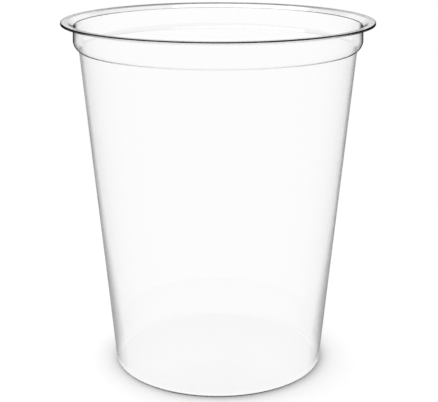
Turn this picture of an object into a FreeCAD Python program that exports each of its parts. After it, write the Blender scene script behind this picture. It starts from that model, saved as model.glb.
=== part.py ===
"""Clear deli container, thermoformed in one piece from a single plastic sheet.

The document holds one sheet of sizes and one body.  The body is built the way the mould forms
it: a solid plug with the outside shape of the bowl, rounded along its creases and hollowed to
the thickness of the wall, and then the rim, where the sheet slopes outwards from the neck, levels
into a flat flange and ends in a short skirt.  Millimetres, +Z up, with the origin under
the middle of the base.
"""
import FreeCAD, Part
import os
import Sketcher

# Each size: name, value in millimetres or degrees, what it measures.
SIZES = [
    ("overall_height", 135.0, "base to the top of the flange"),
    ("rim_diameter", 117.0, "outside of the skirt, which a lid goes over"),
    ("rim_width", 4.5, "outside of the skirt in to the outside of the neck"),
    ("flange_width", 2.6, "level top of the flange, in from the outside of the skirt"),
    ("flange_thickness", 0.5, "skirt, flange and slope, where the sheet is hardly drawn"),
    ("flange_round", 2.0, "top radius between flange and slope"),
    ("skirt_height", 0.9, "top of the flange down to the cut edge of the skirt"),
    ("skirt_round", 0.3, "outside radius between flange and skirt"),
    ("slope_depth", 1.7, "top of the flange down to the foot of the slope, at the neck"),
    ("neck_round", 0.8, "inside radius between slope and neck"),
    ("neck_height", 1.9, "straight part of the neck, below the foot of the slope"),
    ("collar_depth", 6.6, "top of the flange down to the widest place of the collar"),
    ("collar_bulge", 0.2, "how far the collar stands out past the neck"),
    ("shoulder_depth", 10.4, "top of the flange down to the shoulder"),
    ("shoulder_step", 2.15, "widest place of the collar in to the top of the tapered wall"),
    ("crease_round", 0.3, "radius in the crease under the shoulder"),
    ("wall_draft", 5.0, "degrees that the tapered wall leans out from upright"),
    ("wall", 0.4, "drawn thickness of the wall, collar and base"),
    ("base_round", 0.8, "outside radius between wall and base"),
    ("foot_width", 3.0, "ring the container stands on, in from the corner of wall and base"),
    ("base_arch", 0.6, "underside of the base's level middle above that ring"),
    ("base_middle_diameter", 20.0, "level middle of the base"),
]

# Radii and heights of the outside, as expressions of the sheet.
RIM_R = "Sizes.rim_diameter / 2"
FLANGE_R = f"{RIM_R} - Sizes.flange_width"
NECK_R = f"{RIM_R} - Sizes.rim_width"
NECK_IN_R = f"{NECK_R} - Sizes.wall"
COLLAR_R = f"{NECK_R} + Sizes.collar_bulge"
SHOULDER_R = f"{COLLAR_R} - Sizes.shoulder_step"
TOP_Z = "Sizes.overall_height"
NECK_Z = f"{TOP_Z} - Sizes.slope_depth"
MOUTH_Z = f"{NECK_Z} - Sizes.neck_height / 2"
COLLAR_Z = f"{TOP_Z} - Sizes.collar_depth"
SHOULDER_Z = f"{TOP_Z} - Sizes.shoulder_depth"
BASE_R = f"{SHOULDER_R} - ({SHOULDER_Z}) * tan(Sizes.wall_draft)"
FOOT_R = f"{BASE_R} - Sizes.foot_width"
SLOPE = f"atan(Sizes.slope_depth / ({FLANGE_R} - ({NECK_IN_R})))"


def size_sheet(doc):
    """Write the sizes into a spreadsheet: name, value under that alias, meaning."""
    sheet = doc.addObject("Spreadsheet::Sheet", "Sizes")
    for row, (name, value, meaning) in enumerate(SIZES, start=1):
        sheet.set(f"A{row}", name)
        sheet.set(f"B{row}", str(value))
        sheet.setAlias(f"B{row}", name)
        sheet.set(f"C{row}", meaning)
    doc.recompute()


def arc_between(start, end, level):
    """The shorter arc from start to end whose centre is as high as level, one of the two."""
    other = end if level is start else start
    rise = level.y - other.y
    centre_x = (other.x**2 + rise**2 - level.x**2) / (2 * (other.x - level.x))
    centre = FreeCAD.Vector(centre_x, level.y, 0)
    outward = (start + end) * 0.5 - centre
    middle = centre + outward.normalize() * (level - centre).Length
    return Part.Arc(start, middle, end)


def section_sketch(body, name, corners, arcs):
    """Draw a closed outline in the body's XZ plane, held in every corner by the sheet.

    corners: {name: (radius, height)}, as expressions, in order around the outline.
    arcs:    {first corner: level corner} for each side that is an arc instead of a line.  Its
             centre is as high as the level corner, so it is upright there.
    """
    plane = next(item for item in body.Origin.OriginFeatures if item.Role == "XZ_Plane")
    sketch = body.newObject("Sketcher::SketchObject", name)
    sketch.AttachmentSupport = [(plane, "")]
    sketch.MapMode = "FlatFace"

    names = list(corners)
    places = {
        corner: FreeCAD.Vector(sketch.evalExpression(radius), sketch.evalExpression(height), 0)
        for corner, (radius, height) in corners.items()
    }
    ends = {corner: [] for corner in names}
    for first, second in zip(names, names[1:] + names[:1]):
        start, end = places[first], places[second]
        if first in arcs:
            curve = arc_between(start, end, places[arcs[first]])
        else:
            curve = Part.LineSegment(start, end)
        side = sketch.addGeometry(curve, False)
        starts_first = (sketch.getPoint(side, 1) - start).Length < (sketch.getPoint(side, 1) - end).Length
        ends[first].append((side, 1 if starts_first else 2))
        ends[second].append((side, 2 if starts_first else 1))
        if first in arcs:
            level_end = ends[arcs[first]][-1]
            sketch.addConstraint(Sketcher.Constraint("Horizontal", side, 3, *level_end))

    for corner, (radius, height) in corners.items():
        (side, end), (other_side, other_end) = ends[corner]
        sketch.addConstraint(Sketcher.Constraint("Coincident", side, end, other_side, other_end))
        place = places[corner]
        for kind, axis, value, formula, label in (
            ("DistanceX", -2, place.x, radius, "radius"),
            ("DistanceY", -1, place.y, height, "height"),
        ):
            if formula == "0":
                sketch.addConstraint(Sketcher.Constraint("PointOnObject", side, end, axis))
                continue
            index = sketch.addConstraint(Sketcher.Constraint(kind, -1, 1, side, end, value))
            sketch.renameConstraint(index, f"{corner}_{label}")
            sketch.setExpression(f"Constraints.{corner}_{label}", formula)
    return sketch


def revolve(body, name, sketch):
    """Turn a section once around the container's axis."""
    turned = body.newObject("PartDesign::Revolution", name)
    turned.Profile = (sketch, [""])
    turned.ReferenceAxis = (sketch, ["V_Axis"])
    turned.Angle = 360
    body.Document.recompute()
    return turned


def ring_edge(feature, radius, height):
    """Name of the feature's round edge with that radius and height, both expressions."""
    ring = FreeCAD.Vector(feature.evalExpression(radius), feature.evalExpression(height), 0)
    for number, edge in enumerate(feature.Shape.Edges, start=1):
        if isinstance(edge.Curve, Part.Circle):
            found = FreeCAD.Vector(edge.Curve.Radius, edge.Curve.Center.z, 0)
            if found.isEqual(ring, 1e-4):
                return f"Edge{number}"
    raise ValueError(f"{feature.Name} has no round edge at {radius}, {height}")


def round_edges(body, name, feature, rings, radius):
    """Fillet the feature's ring edges, given as (radius, height), with the radius named."""
    fillet = body.newObject("PartDesign::Fillet", name)
    fillet.Base = (feature, [ring_edge(feature, *ring) for ring in rings])
    fillet.setExpression("Radius", radius)
    body.Document.recompute()
    return fillet


def bowl_plug(body):
    """The outside of the bowl as a solid plug, from the arched base up to half of the neck."""
    corners = {
        "base_middle": ("0", "Sizes.base_arch"),
        "middle_edge": ("Sizes.base_middle_diameter / 2", "Sizes.base_arch"),
        "foot_inside": (FOOT_R, "0"),
        "base_corner": (BASE_R, "0"),
        "wall_top": (SHOULDER_R, SHOULDER_Z),
        "collar_widest": (COLLAR_R, COLLAR_Z),
        "neck_bottom": (NECK_R, f"{NECK_Z} - Sizes.neck_height"),
        "neck_middle": (NECK_R, MOUTH_Z),
        "mouth_middle": ("0", MOUTH_Z),
    }
    sketch = section_sketch(body, "BowlSection", corners, {"wall_top": "collar_widest"})
    return revolve(body, "BowlPlug", sketch)


def hollow(body, plug):
    """Hollow the plug to the wall, open at the neck."""
    heights = [face.CenterOfMass.z for face in plug.Shape.Faces]
    mouth = f"Face{heights.index(max(heights)) + 1}"
    shell = body.newObject("PartDesign::Thickness", "BowlShell")
    shell.Base = (plug, [mouth])
    shell.Mode = "Skin"
    shell.Join = "Arc"
    shell.Reversed = True
    shell.setExpression("Value", "Sizes.wall")
    body.Document.recompute()
    return shell


def rim(body):
    """Neck, slope, flange and skirt, turned as one ring that stands on half of the neck.

    The underside lies one thickness below the top, measured square to it, so its corners are
    where the moved sides meet.
    """
    skirt_in_r = f"{RIM_R} - Sizes.flange_thickness"
    skirt_z = f"{TOP_Z} - Sizes.skirt_height"
    under_z = f"{TOP_Z} - Sizes.flange_thickness"
    under_r = f"{FLANGE_R} + Sizes.flange_thickness * tan({SLOPE} / 2)"
    foot_z = f"{NECK_Z} + Sizes.wall * tan({SLOPE}) - Sizes.flange_thickness / cos({SLOPE})"
    corners = {
        "neck_inside": (NECK_IN_R, MOUTH_Z),
        "slope_foot": (NECK_IN_R, NECK_Z),
        "slope_top": (FLANGE_R, TOP_Z),
        "flange_edge": (RIM_R, TOP_Z),
        "skirt_edge_outside": (RIM_R, skirt_z),
        "skirt_edge_inside": (skirt_in_r, skirt_z),
        "skirt_root": (skirt_in_r, under_z),
        "flange_under": (under_r, under_z),
        "slope_under": (NECK_R, foot_z),
        "neck_outside": (NECK_R, MOUTH_Z),
    }
    ring = revolve(body, "Rim", section_sketch(body, "RimSection", corners, {}))
    for name, corner, radius in (
        ("SkirtRound", "flange_edge", "Sizes.skirt_round"),
        ("FlangeRound", "slope_top", "Sizes.flange_round"),
        ("FlangeUnderRound", "flange_under", "Sizes.flange_round - Sizes.flange_thickness"),
        ("NeckRound", "slope_foot", "Sizes.neck_round"),
        ("NeckUnderRound", "slope_under", "Sizes.neck_round - Sizes.flange_thickness"),
    ):
        ring = round_edges(body, name, ring, [corners[corner]], radius)
    return ring


def container(doc):
    body = doc.addObject("PartDesign::Body", "Container")
    body.Label = "container"
    plug = bowl_plug(body)
    crease = [(SHOULDER_R, SHOULDER_Z)]
    plug = round_edges(body, "CreaseRound", plug, crease, "Sizes.crease_round")
    plug = round_edges(body, "BaseRound", plug, [(BASE_R, "0")], "Sizes.base_round")
    hollow(body, plug)
    rim(body)
    body.Placement = FreeCAD.Placement()
    return body


def check(doc, bodies):
    """Stop if any object failed to compute, or a body is not one valid solid."""
    for item in doc.Objects:
        if "Invalid" in item.State or "Error" in item.State:
            raise RuntimeError(f"{item.Name} did not compute: {item.State}")
    for body in bodies:
        shape = body.Shape
        if shape.isNull() or not shape.isValid() or len(shape.Solids) != 1:
            raise RuntimeError(f"{body.Label} is not one valid solid")


def main():
    doc = FreeCAD.newDocument("DeliContainer")
    size_sheet(doc)
    bodies = [container(doc)]
    doc.recompute()
    check(doc, bodies)
    os.makedirs("parts", exist_ok=True)
    for body in bodies:
        body.Shape.exportStep(f"parts/{body.Label}.step")
        box = body.Shape.optimalBoundingBox(False)
        print(f"{body.Label}: {box.XLength:.2f} x {box.YLength:.2f} x {box.ZLength:.2f} mm,"
              f" {body.Shape.Volume / 1000:.2f} cm3")


main()
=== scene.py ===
# %% [markdown]
# # A clear deli container, from its section to its studio picture
# The container is one sheet of clear corn-starch plastic, heated and drawn into a mould: a
# tapered bowl, a rounded collar, a neck, and a rim that slopes outwards, levels and ends in a
# short skirt. This lesson draws half of its section, turns it around its axis, gives it the
# finish of formed clear sheet, and lights it so that its edges draw themselves as dark lines on
# white.
#
# The imported CAD model is loaded first and stays where it is. Its box gives the two sizes that
# all others hang on.

# %% Load the imported model
import math

import bpy
import numpy as np
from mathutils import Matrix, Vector


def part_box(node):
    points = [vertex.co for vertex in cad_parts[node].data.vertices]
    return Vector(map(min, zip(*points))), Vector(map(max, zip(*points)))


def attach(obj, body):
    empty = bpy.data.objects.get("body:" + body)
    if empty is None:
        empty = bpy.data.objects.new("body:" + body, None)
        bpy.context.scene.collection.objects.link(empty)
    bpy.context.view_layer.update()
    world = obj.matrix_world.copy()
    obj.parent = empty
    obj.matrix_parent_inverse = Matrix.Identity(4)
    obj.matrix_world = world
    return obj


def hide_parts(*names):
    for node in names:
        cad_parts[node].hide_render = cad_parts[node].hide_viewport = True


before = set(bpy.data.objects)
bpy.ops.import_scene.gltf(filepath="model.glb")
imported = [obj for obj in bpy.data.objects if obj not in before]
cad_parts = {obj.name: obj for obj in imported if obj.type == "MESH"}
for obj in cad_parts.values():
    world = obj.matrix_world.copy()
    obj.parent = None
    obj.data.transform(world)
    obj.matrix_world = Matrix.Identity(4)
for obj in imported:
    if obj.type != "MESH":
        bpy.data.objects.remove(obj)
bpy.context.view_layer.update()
low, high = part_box("container")
HEIGHT = high.z
RIM_R = high.x
print(f"container: {RIM_R * 2000:.1f} mm across the rim, {HEIGHT * 1000:.1f} mm tall, "
      f"its base {abs(low.z) * 1000:.1f} mm from the floor")

# %% [markdown]
# ## The sizes of the formed sheet
# A toolmaker draws half of the section: radius to the right, height upwards. Only the sizes that
# a caliper finds on the real one are written down here, in millimetres, and every corner of the
# section follows from them. The sheet is clamped around the rim while the rest is drawn down, so
# the rim keeps 0.5 mm and the wall has 0.4 mm. The base rises a little towards its middle, so the
# container stands on a narrow ring and cannot rock.

# %% Sizes of the section
MM = 0.001
RIM_WIDTH = 4.5 * MM          # outside of the skirt in to the outside of the neck
FLANGE_WIDTH = 2.6 * MM       # level top of the flange
FLANGE_THICKNESS = 0.5 * MM   # skirt, flange and slope
FLANGE_ROUND = 2.0 * MM       # top, between flange and slope
SKIRT_HEIGHT = 0.9 * MM
SKIRT_ROUND = 0.3 * MM        # top outside edge
CUT_ROUND = 0.1 * MM          # the cutting die leaves the skirt's edge a little rounded
SLOPE_DEPTH = 1.7 * MM        # top of the flange down to the foot of the slope
NECK_ROUND = 0.8 * MM         # inside, between slope and neck
NECK_HEIGHT = 1.9 * MM
NECK_BLEND = 5.0 * MM         # the neck runs into the collar with no edge
COLLAR_DEPTH = 6.6 * MM       # top of the flange down to the widest place of the collar
COLLAR_BULGE = 0.2 * MM
SHOULDER_DEPTH = 10.4 * MM
SHOULDER_STEP = 2.15 * MM     # widest place of the collar in to the top of the wall
CREASE_ROUND = 0.3 * MM
WALL_DRAFT = math.radians(5.0)
WALL = 0.4 * MM
BASE_ROUND = 0.8 * MM
FOOT_WIDTH = 3.0 * MM         # the ring it stands on
BASE_ARCH = 0.6 * MM          # underside of the base's middle above that ring
BASE_MIDDLE_R = 10.0 * MM     # level middle of the base
ARCH_BLEND = 50.0 * MM        # the slope of the arch runs into both of them with no edge

FLANGE_R = RIM_R - FLANGE_WIDTH
NECK_R = RIM_R - RIM_WIDTH
COLLAR_R = NECK_R + COLLAR_BULGE
SHOULDER_R = COLLAR_R - SHOULDER_STEP
SHOULDER_Z = HEIGHT - SHOULDER_DEPTH
BASE_R = SHOULDER_R - SHOULDER_Z * math.tan(WALL_DRAFT)
FOOT_R = BASE_R - FOOT_WIDTH
print(f"base corner at a radius of {BASE_R / MM:.2f} mm, neck at {NECK_R / MM:.2f} mm")

# %% [markdown]
# ## The outside of the bowl
# A formed section is straight runs with rounded corners, so it can be written as a chain of
# corners, each with a radius of its own. A spline through points would be quicker, but it bulges
# between them, and clear plastic shows every bulge. The collar is one long round: both of its
# tangents meet in the corner that is worked out here.

# %% Corners of the outside
COLLAR_FILL = 0.9             # of each tangent of the collar that its round takes up
collar_rise = SHOULDER_DEPTH - COLLAR_DEPTH
collar_tangent = (SHOULDER_STEP**2 + collar_rise**2) / (2 * collar_rise)
collar_turn = math.pi / 2 - math.atan2(collar_rise - collar_tangent, SHOULDER_STEP)
COLLAR_ROUND = COLLAR_FILL * collar_tangent / math.tan(collar_turn / 2)

bowl_outside = np.array([
    # radius, height, round
    (0.0, BASE_ARCH, 0.0),
    (BASE_MIDDLE_R, BASE_ARCH, ARCH_BLEND),
    (FOOT_R, 0.0, ARCH_BLEND),
    (BASE_R, 0.0, BASE_ROUND),
    (SHOULDER_R, SHOULDER_Z, CREASE_ROUND),
    (COLLAR_R, HEIGHT - COLLAR_DEPTH - collar_tangent, COLLAR_ROUND),
    (NECK_R, HEIGHT - SLOPE_DEPTH - NECK_HEIGHT, NECK_BLEND),
    (NECK_R, HEIGHT - SLOPE_DEPTH, NECK_ROUND),
])
print(f"the collar turns {math.degrees(collar_turn):.1f} degrees with a radius of "
      f"{COLLAR_ROUND / MM:.2f} mm")

# %% [markdown]
# ## The inside of the bowl
# A drawn sheet is as thick round a corner as along a run, so the inside is the same chain moved
# sideways by the wall. Blender's Solidify modifier does this to a finished mesh, but only along
# averaged directions, which thins the tight corners. Moving the chain keeps the wall exact.

# %% A chain beside a chain


def runs_of(corners):
    """Unit vector along each run: the next corner minus this one, over their distance."""
    steps = np.diff(corners[:, :2], axis=0)
    return steps / np.linalg.norm(steps, axis=1, keepdims=True)


def left_of(ways):
    """A quarter turn to the left: (radius, height) becomes (-height, radius)."""
    return np.stack([-ways[..., 1], ways[..., 0]], axis=-1)


def beside(corners, gap):
    """The same chain, moved to its left by gap.

    A corner moves by gap * (n + m) / (1 + n.m), where n and m are the left sides of the runs
    before and after it, so both runs move by exactly gap. Its round loses gap where the chain
    turns left and gains gap where it turns right.
    """
    ways = runs_of(corners)
    before = left_of(np.vstack([ways[:1], ways]))
    after = left_of(np.vstack([ways, ways[-1:]]))
    moved = corners.copy()
    share = 1 + np.sum(before * after, axis=1, keepdims=True)
    moved[:, :2] += gap * (before + after) / share
    turn = before[:, 0] * after[:, 1] - before[:, 1] * after[:, 0]
    moved[:, 2] -= gap * np.sign(turn) * (corners[:, 2] > 0)
    return moved


bowl_inside = beside(bowl_outside, WALL)
print(f"inside, the middle of the base lies {bowl_inside[0, 1] / MM:.2f} mm up")

# %% [markdown]
# ## The rim closes the section
# From the neck the sheet slopes outwards, levels into the flange and turns down into the skirt,
# and its underside comes back the same way. The rim is a little thicker than the neck, so the
# foot of its underside is where the moved slope meets the neck. A real edge is never perfectly
# sharp, and the small rounds on the cut edge are what catch the light.

# %% The whole section as one chain
slope = math.atan2(SLOPE_DEPTH, FLANGE_R - (NECK_R - WALL))
slope_foot_under = HEIGHT - SLOPE_DEPTH + WALL * math.tan(slope) - FLANGE_THICKNESS / math.cos(slope)
skirt_inside = RIM_R - FLANGE_THICKNESS
rim = np.array([
    (NECK_R, slope_foot_under, NECK_ROUND - FLANGE_THICKNESS),
    (FLANGE_R + FLANGE_THICKNESS * math.tan(slope / 2), HEIGHT - FLANGE_THICKNESS,
     FLANGE_ROUND - FLANGE_THICKNESS),
    (skirt_inside, HEIGHT - FLANGE_THICKNESS, CUT_ROUND),
    (skirt_inside, HEIGHT - SKIRT_HEIGHT, CUT_ROUND),
    (RIM_R, HEIGHT - SKIRT_HEIGHT, CUT_ROUND),
    (RIM_R, HEIGHT, SKIRT_ROUND),
    (FLANGE_R, HEIGHT, FLANGE_ROUND),
    (NECK_R - WALL, HEIGHT - SLOPE_DEPTH, NECK_ROUND),
])
chain = np.vstack([bowl_outside[:-1], rim, bowl_inside[-2::-1]])
print(f"the section has {len(chain)} corners; the slope rises {math.degrees(slope):.1f} degrees")

# %% [markdown]
# ## From corners to a smooth line
# Each corner becomes an arc in even steps, and each run gets two more points close to its ends.
# Smooth shading blends the directions of neighbouring faces, and clear plastic shows every error
# in them, so those close points keep the blend inside the round and leave the run straight.

# %% Rounding the chain
ARC_STEP = math.radians(9)
LEAST_STEPS = 3               # on the shortest arc
EASE = 0.12 * MM              # from the end of a round to the point that guards the run
LONGEST_RUN = 12 * MM


def along_run(start, end):
    """Points on a straight run after its start: a guard near each end, even steps between.

    A guard lies EASE from its end, or a quarter of the run where that is less.
    """
    length = np.linalg.norm(end - start)
    ease = min(EASE, length / 4)
    inner = np.linspace(ease, length - ease, max(1, math.ceil(length / LONGEST_RUN)) + 1)
    steps = np.append(inner, length)[:, None]
    return start + steps * (end - start) / length


def rounded(corners):
    """Points along the chain with its corners rounded.

    On an arc, point = start + round * (sin(a) * forwards + (1 - cos(a)) * sideways), where a
    grows from nothing to the turn, and start lies round * tan(turn / 2) before the corner.
    """
    ways = runs_of(corners)
    points = [corners[:1, :2]]
    at = corners[0, :2]
    for way, next_way, corner in zip(ways[:-1], ways[1:], corners[1:-1]):
        cross = way[0] * next_way[1] - way[1] * next_way[0]
        turn = math.atan2(abs(cross), way @ next_way)
        start = corner[:2] - way * corner[2] * math.tan(turn / 2)
        points.append(along_run(at, start))
        steps = max(LEAST_STEPS, math.ceil(turn / ARC_STEP))
        angles = np.linspace(0, turn, steps + 1)[:, None]
        sideways = left_of(way) * np.sign(cross)
        arc = start + corner[2] * (np.sin(angles) * way + (1 - np.cos(angles)) * sideways)
        points.append(arc[1:])
        at = arc[-1]
    points.append(along_run(at, corners[-1, :2]))
    return np.vstack(points)


section = rounded(chain)
print(f"{len(section)} points; widest {section[:, 0].max() / MM:.2f} mm, "
      f"tallest {section[:, 1].max() / MM:.2f} mm")

# %% [markdown]
# ## Turning the section
# A lathe is one formula: every point of the section goes around the axis. Its two ends lie on
# the axis, so each becomes a single vertex closed by a fan of triangles, and the skin is
# watertight. Blender's Spin tool does the same but leaves doubled points at the poles. Here all
# vertices come from one grid, worked out as whole arrays.

# %% The turned skin
SEGMENTS = 320


def turned(line, segments):
    """Vertices and faces of a line turned around +Z.

    A grid point is (radius * cos(angle), radius * sin(angle), height). The faces run so that
    they look away from the plastic when the line starts underneath and goes outwards.
    """
    angle = np.arange(segments) * 2 * math.pi / segments
    radius, height = line[1:-1, 0][:, None], line[1:-1, 1][:, None]
    grid = np.stack([radius * np.cos(angle), radius * np.sin(angle),
                     np.broadcast_to(height, (len(line) - 2, segments))], axis=-1)
    poles = np.array([[0, 0, line[0, 1]], [0, 0, line[-1, 1]]])
    vertices = np.vstack([grid.reshape(-1, 3), poles])

    number = np.arange((len(line) - 2) * segments).reshape(-1, segments)
    after = np.roll(number, -1, axis=1)
    quads = np.stack([number[:-1], after[:-1], after[1:], number[1:]], axis=-1).reshape(-1, 4)
    first, last = number.size, number.size + 1
    under = np.stack([np.full(segments, first), after[0], number[0]], axis=-1)
    over = np.stack([np.full(segments, last), number[-1], after[-1]], axis=-1)
    return vertices, quads.tolist() + under.tolist() + over.tolist()


def new_piece(name, vertices, faces):
    """An object at the origin with a smooth mesh of these faces."""
    mesh = bpy.data.meshes.new(name)
    mesh.from_pydata(vertices, [], faces)
    mesh.shade_smooth()
    piece = bpy.data.objects.new(name, mesh)
    bpy.context.scene.collection.objects.link(piece)
    return piece


vertices, faces = turned(section, SEGMENTS)
shell = new_piece("formed_shell", vertices, faces)
triangles = sum(len(face) - 2 for face in faces)
print(f"{shell.name}: {len(vertices)} vertices, {triangles} triangles")

# %% [markdown]
# ## Clear formed sheet
# The plastic bends light as corn-starch sheet does and mirrors a little of it, more at a
# glancing angle. A Principled shader with full transmission does both, and the real thickness
# of the mesh does the rest: dark lines appear where a bend sends the view off to the side.
#
# Two things make formed sheet differ from window glass. The surface that was drawn over the
# mould has faint streaks from top to bottom, and all of it has the low ripple of cooled plastic.
# Both are far too fine for the mesh, so they are a bump: one noise stretched along the height,
# one that is alike in all directions. The same ripple drives a slight haze.
#
# The shader trees below are put together by a few small helpers, because a bare tree takes many
# lines for each node and hides the idea behind them.

# %% Helpers for shader nodes


def emptied(owner):
    """The node tree of a material or world, with nothing in it."""
    owner.use_nodes = True
    owner.node_tree.nodes.clear()
    return owner.node_tree


def node(tree, kind, **inputs):
    """Add a node; inputs are values for its sockets, by name with _ for a space."""
    made = tree.nodes.new(kind)
    for name, value in inputs.items():
        made.inputs[name.replace("_", " ")].default_value = value
    return made


def put(tree, feed, socket):
    """Give a socket its feed, which is a number or the socket that it comes from."""
    if isinstance(feed, bpy.types.NodeSocket):
        tree.links.new(feed, socket)
    else:
        socket.default_value = feed


def maths(tree, operation, first, second):
    """Add a Math node; first and second are each a number or a socket."""
    made = tree.nodes.new("ShaderNodeMath")
    made.operation = operation
    put(tree, first, made.inputs[0])
    put(tree, second, made.inputs[1])
    return made.outputs["Value"]


def between(tree, value, start, end, at_start=0.0, at_end=1.0):
    """Map Range: at_start up to start, at_end from end on, and a straight ramp between them."""
    ramp = tree.nodes.new("ShaderNodeMapRange")
    feeds = {"Value": value, "From Min": start, "From Max": end, "To Min": at_start,
             "To Max": at_end}
    for name, feed in feeds.items():
        put(tree, feed, ramp.inputs[name])
    return ramp.outputs["Result"]


def mixed(tree, share, first, second):
    """Mix Shader: first where share is nothing, second where it is 1."""
    mix = node(tree, "ShaderNodeMixShader")
    tree.links.new(share, mix.inputs["Fac"])
    tree.links.new(first, mix.inputs[1])
    tree.links.new(second, mix.inputs[2])
    return mix.outputs["Shader"]


# %% [markdown]
# ## Where on the container
# Some of the finish belongs to one part of the container: the skirt, the collar, the corner of
# the base. A turned shape needs no map painted for that, because two numbers say where a point
# is: how far it is from the axis, and how high.

# %% Distance from the axis, and height


def from_axis(tree, place):
    """How far a place is from the vertical axis: the root of x squared plus y squared."""
    parts = node(tree, "ShaderNodeSeparateXYZ")
    tree.links.new(place, parts.inputs["Vector"])
    across = maths(tree, "POWER", parts.outputs["X"], 2.0)
    along = maths(tree, "POWER", parts.outputs["Y"], 2.0)
    return maths(tree, "SQRT", maths(tree, "ADD", across, along), 0.0)


def height_of(tree, place):
    """The height of a place above the floor."""
    parts = node(tree, "ShaderNodeSeparateXYZ")
    tree.links.new(place, parts.inputs["Vector"])
    return parts.outputs["Z"]


# %% Streaks and ripple
STREAK_SCALE = 220.0          # per metre, around the container
STREAK_STRETCH = 0.06         # how much slower the streaks change along the height
RIPPLE_SCALE = 90.0           # per metre, in all directions
BUMP_DEPTH = 0.02 * MM
RIPPLE_LOW = 0.3              # the noise's values between which the haze grows
RIPPLE_HIGH = 0.7
HAZE_LOW = 0.01               # roughness of the surface
HAZE_HIGH = 0.035


def formed_surface(tree):
    """Bump normal and haze for drawn sheet: streaks along the height over a soft ripple."""
    place = node(tree, "ShaderNodeTexCoord")
    squeeze = node(tree, "ShaderNodeMapping", Scale=(1, 1, STREAK_STRETCH))
    streaks = node(tree, "ShaderNodeTexNoise", Scale=STREAK_SCALE, Detail=2.0, Roughness=0.5)
    ripple = node(tree, "ShaderNodeTexNoise", Scale=RIPPLE_SCALE, Detail=1.0, Roughness=0.4)
    tree.links.new(place.outputs["Object"], squeeze.inputs["Vector"])
    tree.links.new(squeeze.outputs["Vector"], streaks.inputs["Vector"])
    tree.links.new(place.outputs["Object"], ripple.inputs["Vector"])
    height = maths(tree, "ADD", streaks.outputs["Fac"], ripple.outputs["Fac"])
    bump = node(tree, "ShaderNodeBump", Strength=1.0, Distance=BUMP_DEPTH)
    tree.links.new(height, bump.inputs["Height"])
    haze = between(tree, ripple.outputs["Fac"], RIPPLE_LOW, RIPPLE_HIGH, HAZE_LOW, HAZE_HIGH)
    return bump.outputs["Normal"], haze


# %% [markdown]
# ## The dark outline of clear plastic, painted as shade
# Seen along its own surface, a sheet shows its edge instead of what is behind it: the outline of
# the collar is nearly black, that of the thin wall grey. A real sheet gets this from the dark room
# around it, which its glancing surface mirrors and bends the view towards, over many reflections
# inside it. Here that is painted shade: one thin coat, whose own index is 1, so it mirrors nothing,
# and whose grey tint is laid on only where the Layer Weight node finds a glancing view.
#
# The coat is thin on the drawn wall, full on the collar and thinner again on slope and flange,
# which are mostly seen at a low angle and would go dark all over. The outside of the skirt is a
# straight band 0.6 mm high that bends the view off to the sides early, so its coat starts sooner.
#
# The grey outline of the wall is narrow at the top and broadens towards the base, so the painted
# shade starts sooner lower down, and almost stops at the base itself, which is mostly seen at a
# low angle through the wall.

# %% Painted shade at a glancing view
GLANCE_FROM = 0.78            # 1 minus the cosine, where the painted shade of a glancing view starts
LOW_GLANCE_FROM = 0.60        # the same near the base
GLANCE_FULL = 0.90            # and where that painted shade is full
LOW_WALL = 20 * MM            # up to this height the start is the low one
HIGH_WALL = 60 * MM           # and from this height on the high one
WALL_OUTLINE_SHADE = 0.4               # how much of the coat of painted shade is laid on
COLLAR_OUTLINE_SHADE = 0.97
RIM_SHARE = 0.15              # of the collar's painted shade on slope and flange
BASE_SHARE = 0.1              # of the wall's painted shade on the base and its corner
BASE_LEVEL = 1.5 * MM         # the base's top is below this height
WALL_LEVEL = 4.0 * MM         # and from here up there is only wall
SKIRT_GLANCE_FROM = 0.34      # start and end of the same ramp on the skirt's outside
SKIRT_GLANCE_FULL = 0.52
SKIRT_SKIN = 0.32 * MM        # skirt and the round above it, in from the outside
STEP_BLEND = 0.3 * MM         # half of the height over which one amount of painted shade turns into the next


def painted_outline_shade(tree, place):
    """How much of the coat of painted shade there is, from nothing to 1.

    On the sheet it is (ramp of the glancing view) * (painted shade at this height) * (share of the
    rim or the base), and on the skirt's outside (its own ramp of the glancing view). The larger
    counts.
    """
    glancing = node(tree, "ShaderNodeLayerWeight", Blend=0.5).outputs["Facing"]
    height = height_of(tree, place)
    foot = HEIGHT - SLOPE_DEPTH
    # Painted shade: how much of the grey coat is laid on at this height.
    outline_shade = between(tree, height, SHOULDER_Z - STEP_BLEND, SHOULDER_Z + STEP_BLEND, WALL_OUTLINE_SHADE,
                   COLLAR_OUTLINE_SHADE)
    rim_share = between(tree, height, foot - STEP_BLEND, foot + STEP_BLEND, 1.0, RIM_SHARE)
    base_share = between(tree, height, BASE_LEVEL, WALL_LEVEL, BASE_SHARE, 1.0)
    share = maths(tree, "MINIMUM", rim_share, base_share)
    start = between(tree, height, LOW_WALL, HIGH_WALL, LOW_GLANCE_FROM, GLANCE_FROM)
    sheet_glance = between(tree, glancing, start, GLANCE_FULL)
    sheet = maths(tree, "MULTIPLY", sheet_glance, maths(tree, "MULTIPLY", outline_shade, share))
    inside = node(tree, "ShaderNodeNewGeometry").outputs["Backfacing"]
    outside = maths(tree, "SUBTRACT", 1.0, inside)
    on_skirt = between(tree, from_axis(tree, place), RIM_R - SKIRT_SKIN, RIM_R - SKIRT_SKIN / 2)
    skirt_glance = between(tree, glancing, SKIRT_GLANCE_FROM, SKIRT_GLANCE_FULL)
    skirt = maths(tree, "MULTIPLY", skirt_glance, maths(tree, "MULTIPLY", on_skirt, outside))
    return maths(tree, "MAXIMUM", sheet, skirt)


# %% [markdown]
# ## What lamps and the floor see of the plastic
# A path tracer needs very many samples to send lamp light through bent plastic onto the floor.
# Two Mix Shaders, one in the other, let those rays straight through a slightly grey Transparent
# shader instead: shadow rays, which look for the lamps, and diffuse rays, which carry light from
# the floor. The camera never sees that shader. Its grey is what a sheet mirrors away. It is
# darker at the corner of wall and base, where the sheet stands on the floor and gathers the
# light to one side, and that makes the narrow dark contact shadow.

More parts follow.
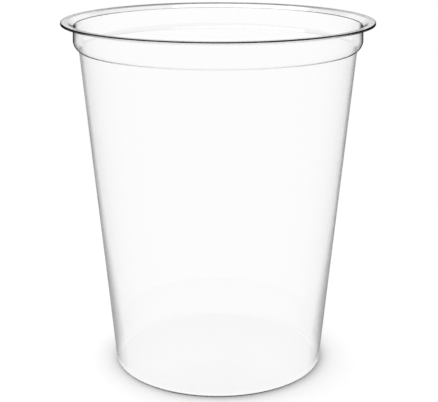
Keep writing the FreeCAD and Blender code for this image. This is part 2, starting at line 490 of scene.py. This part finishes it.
# %% What lamps see
CORNER_HEIGHT = 8.0 * MM      # the darkening ends here
CORNER_PASSED = 0.0           # of the light at the corner of wall and base
PASSED = 0.93                 # of the light anywhere above that


def seen_by_lamps(tree, place, plastic):
    """The plastic for all rays but shadow rays and diffuse rays, which meet a grey clearness."""
    clear = node(tree, "ShaderNodeBsdfTransparent")
    passed = between(tree, height_of(tree, place), 0.0, CORNER_HEIGHT, CORNER_PASSED, PASSED)
    tree.links.new(passed, clear.inputs["Color"])
    rays = node(tree, "ShaderNodeLightPath")
    for ray in ("Is Shadow Ray", "Is Diffuse Ray"):
        plastic = mixed(tree, rays.outputs[ray], plastic, clear.outputs["BSDF"])
    return plastic


# %% [markdown]
# ## The plastic itself
# One Principled shader with full transmission holds the bend, the ripple, the haze and the coat
# of painted shade. The skirt is the one place that is a little grey even when seen straight: it
# ends in a rough cut edge that scatters the light running along inside it, and the dark line that
# this gives against white is painted into its base colour as shade.

# %% The plastic
INDEX = 1.46                  # how strongly corn-starch sheet bends light
MIRROR = 0.25                 # half of this socket's usual 0.5, which keeps the wall clear
# The coat's grey is painted shade on the outline.
OUTLINE_SHADE_GREY = (0.4, 0.4, 0.4, 1)
EDGE_FROM = RIM_R - 0.8 * MM  # radius from which the skirt's painted shade comes in
EDGE_FULL = RIM_R - 0.3 * MM
SKIRT_PAINTED_SHADE = 0.85              # painted shade: the share of light kept through the skirt and its cut edge


def clear_plastic():
    """Clear formed sheet, with painted shade on its outline and skirt, and its own way with lamp
    light.
    """
    material = bpy.data.materials.new("clear_plastic")
    tree = emptied(material)
    place = node(tree, "ShaderNodeTexCoord").outputs["Object"]
    normal, haze = formed_surface(tree)
    # Painted shade on the skirt: its base colour greys towards the rim.
    painted_skirt_shade = between(tree, from_axis(tree, place), EDGE_FROM, EDGE_FULL, 1.0, SKIRT_PAINTED_SHADE)
    plastic = node(tree, "ShaderNodeBsdfPrincipled", IOR=INDEX, Transmission_Weight=1.0,
                   Specular_IOR_Level=MIRROR, Coat_IOR=1.0, Coat_Tint=OUTLINE_SHADE_GREY)
    output = node(tree, "ShaderNodeOutputMaterial")
    link = tree.links.new
    link(normal, plastic.inputs["Normal"])
    link(haze, plastic.inputs["Roughness"])
    link(painted_skirt_shade, plastic.inputs["Base Color"])
    # The coat's weight is painted shade on the outline.
    link(painted_outline_shade(tree, place), plastic.inputs["Coat Weight"])
    link(seen_by_lamps(tree, place, plastic.outputs["BSDF"]), output.inputs["Surface"])
    return material


shell.data.materials.append(clear_plastic())
print(f"{shell.name} is made of {shell.data.materials[0].name}")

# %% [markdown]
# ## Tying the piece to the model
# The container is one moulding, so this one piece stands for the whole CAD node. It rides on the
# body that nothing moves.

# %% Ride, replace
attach(shell, "root")
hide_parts("container")

# %% [markdown]
# ## Bright-field light
# Clear plastic has almost no colour of its own, so it is shown against white and drawn by
# dark things around it. Here the world is white near the horizon and dark overhead, as in a room
# with a white sweep and a dark ceiling: the wall mirrors the sweep and stays clear, and a bend
# that mirrors the ceiling goes dark.
#
# A studio also has black cards beside the sweep, but cards would stand in the way of every other
# view. Something that works from all sides takes their place: each time a ray is mirrored, the
# white that it finds at last is weaker. A ray that goes straight through the sheet keeps its
# full white, one that was mirrored once loses a little, and one that was led around a bend
# inside the sheet, mirrored many times, comes out dark. The Light Path node counts those
# mirrorings as Glossy Depth.

# %% White that fades with each mirroring
DEEPER = 2.5                  # how much faster the white fades with every further mirroring


def mirrored_white(tree, rays, kept):
    """The white left after so many mirrorings: kept ** (Glossy Depth ** DEEPER)."""
    depth = maths(tree, "POWER", rays.outputs["Glossy Depth"], DEEPER)
    return maths(tree, "POWER", kept, depth)


def met_plastic(tree, rays):
    """1 for a ray that comes off or through the plastic, and nothing for any other."""
    return maths(tree, "MAXIMUM", rays.outputs["Is Glossy Ray"],
                 rays.outputs["Is Transmission Ray"])


# %% The world
OVERHEAD = (0.1, 0.1, 0.1, 1)
WHITE = (1, 1, 1, 1)
WHITE_BELOW = 0.45            # sine of the height above the horizon where the white ends
DARK_ABOVE = 0.6              # and where the ceiling is fully dark
WORLD_KEPT = 0.85             # of the white after one mirroring
ROOM_LIGHT = 0.9              # on the floor and everything matt


def studio_world():
    """Plain white for the camera, sweep and ceiling for the plastic, even light for the rest."""
    world = bpy.data.worlds.new("studio")
    tree = emptied(world)
    rays = node(tree, "ShaderNodeLightPath")
    way = node(tree, "ShaderNodeTexCoord")
    split = node(tree, "ShaderNodeSeparateXYZ")
    ceiling = node(tree, "ShaderNodeValToRGB")
    white_end, dark_end = ceiling.color_ramp.elements
    white_end.position = WHITE_BELOW
    white_end.color = WHITE
    dark_end.position = DARK_ABOVE
    dark_end.color = OVERHEAD
    room = node(tree, "ShaderNodeBackground")
    light = node(tree, "ShaderNodeBackground", Color=WHITE, Strength=ROOM_LIGHT)
    white = node(tree, "ShaderNodeBackground", Color=WHITE, Strength=1.0)
    output = node(tree, "ShaderNodeOutputWorld")
    link = tree.links.new
    link(way.outputs["Generated"], split.inputs["Vector"])
    link(split.outputs["Z"], ceiling.inputs["Fac"])
    link(ceiling.outputs["Color"], room.inputs["Color"])
    link(mirrored_white(tree, rays, WORLD_KEPT), room.inputs["Strength"])
    around = mixed(tree, met_plastic(tree, rays), light.outputs["Background"],
                   room.outputs["Background"])
    seen = mixed(tree, rays.outputs["Is Camera Ray"], around, white.outputs["Background"])
    link(seen, output.inputs["Surface"])
    return world


bpy.context.scene.world = studio_world()
print(f"the world is white up to {math.degrees(math.asin(WHITE_BELOW)):.0f} degrees")

# %% [markdown]
# ## The white sweep
# The floor is a large sheet of white paper. Near the container the camera sees the paper, which
# takes its soft shadow. Further out the paper turns into plain white over 25 cm, so that the
# floor has no visible end. Rays that come through or off the plastic find plain white
# everywhere, weaker after each mirroring as in the world.

# %% The floor
FLOOR_SIZE = 8.0              # metres
PAPER = (0.95, 0.95, 0.95, 1)
FLOOR_KEPT = 0.85             # of the white after one mirroring
SHADE_REACH = 0.05            # paper alone up to this far from the axis
EVEN_WHITE_FROM = 0.30        # plain white alone from here on


def white_sweep():
    """Paper that takes a shadow near the axis, and plain white far out and for the plastic."""
    material = bpy.data.materials.new("white_sweep")
    tree = emptied(material)
    rays = node(tree, "ShaderNodeLightPath")
    paper = node(tree, "ShaderNodeBsdfDiffuse", Color=PAPER)
    white = node(tree, "ShaderNodeEmission", Color=WHITE)
    output = node(tree, "ShaderNodeOutputMaterial")
    link = tree.links.new
    link(mirrored_white(tree, rays, FLOOR_KEPT), white.inputs["Strength"])
    place = node(tree, "ShaderNodeTexCoord").outputs["Object"]
    even = between(tree, from_axis(tree, place), SHADE_REACH, EVEN_WHITE_FROM)
    straight = maths(tree, "MULTIPLY", rays.outputs["Is Camera Ray"], even)
    share = maths(tree, "MAXIMUM", met_plastic(tree, rays), straight)
    seen = mixed(tree, share, paper.outputs["BSDF"], white.outputs["Emission"])
    link(seen, output.inputs["Surface"])
    return material


half = FLOOR_SIZE / 2
corners = [(-half, -half, 0), (half, -half, 0), (half, half, 0), (-half, half, 0)]
floor = new_piece("floor", corners, [(0, 1, 2, 3)])
floor.data.materials.append(white_sweep())
print(f"the floor is {FLOOR_SIZE:.0f} m wide")

# %% [markdown]
# ## One soft lamp
# A large soft box hangs high up, a little behind the container and to its left. It gives the
# sheet its few soft highlights and keeps the shadow close around the base, slightly stronger to
# the right and in front. The room does the rest.

# %% The soft box
KEY_PLACE = (-0.2, 0.2, 1.1)  # metres
KEY_AIM = (0, 0, 0.05)
KEY_SIZE = 0.8
KEY_POWER = 4.0               # watts


def softbox(name, place, aim, size, power):
    """A square area lamp that looks from place towards aim."""
    light = bpy.data.lights.new(name, "AREA")
    light.shape = "SQUARE"
    light.size = size
    light.energy = power
    lamp = bpy.data.objects.new(name, light)
    lamp.location = place
    lamp.rotation_euler = (Vector(aim) - Vector(place)).to_track_quat("-Z", "Y").to_euler()
    bpy.context.scene.collection.objects.link(lamp)
    return lamp


key = softbox("key", KEY_PLACE, KEY_AIM, KEY_SIZE, KEY_POWER)
print(f"{key.name}: {key.data.energy:.0f} W")

# %% [markdown]
# ## The camera
# A clear container is usually seen from a little above the rim, so that the mouth is an open
# ellipse and the base closes the picture below. The camera stands about 40 cm from the axis,
# which is close: the walls seem to lean more than they do, and the far side of the rim is
# clearly smaller than the near side. The picture's middle is a hair beside the axis.

# %% The camera
SENSOR_WIDTH = 36             # millimetres
LENS = 88.3726                # millimetres
SIDE_SHIFT = 0.0021           # of the picture's width
LOOKS_DOWN = 0.292            # radians below level
CAMERA_PLACE = (0, -0.4042, 0.1856)
camera_data = bpy.data.cameras.new("camera")
camera_data.sensor_width = SENSOR_WIDTH
camera_data.lens = LENS
camera_data.shift_x = SIDE_SHIFT
camera = bpy.data.objects.new("camera", camera_data)
camera.location = CAMERA_PLACE
camera.rotation_euler = (math.pi / 2 - LOOKS_DOWN, 0, 0)
bpy.context.scene.collection.objects.link(camera)
bpy.context.scene.camera = camera
bpy.context.scene.view_settings.view_transform = "Standard"
print(f"a {camera_data.lens:.0f} mm lens, {math.degrees(LOOKS_DOWN):.1f} degrees down")
